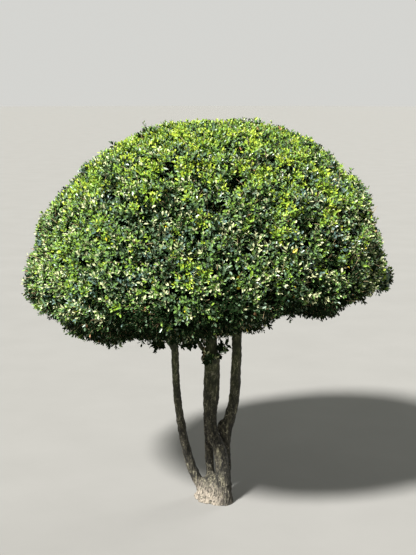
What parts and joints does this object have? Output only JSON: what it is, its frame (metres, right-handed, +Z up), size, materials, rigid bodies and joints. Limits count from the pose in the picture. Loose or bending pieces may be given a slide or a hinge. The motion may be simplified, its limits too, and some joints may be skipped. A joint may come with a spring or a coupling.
{
  "type": "multi-stemmed umbrella topiary",
  "caption": "Small-leaved evergreen shrub, rooted in the ground: bare stems rise from one root flare under a clipped, wide, low dome of leaves.",
  "frame": {"origin": "middle of the flat cut under the root flare, at ground level", "axes": "+Z up, +X to the right and -Y to the front, as the plant is seen in the picture"},
  "size_m": [1.347, 1.3087, 1.4546],
  "materials": {
    "bark": "rough dark grey-brown bark with a green film of algae near the crown",
    "foliage": "small leathery evergreen leaves, glossy above, yellow-green where young and dark green in the shade"
  },
  "bodies": {
    "root": {"root_flare": "bark", "left_stem": "bark", "middle_stem": "bark", "right_stem": "bark", "side_bough": "bark", "left_bough": "bark", "clipped_crown": "foliage", "side_bough_spray": "foliage", "middle_front_spray": "foliage", "middle_right_spray": "foliage", "left_low_spray": "foliage"}
  },
  "joints": []
}
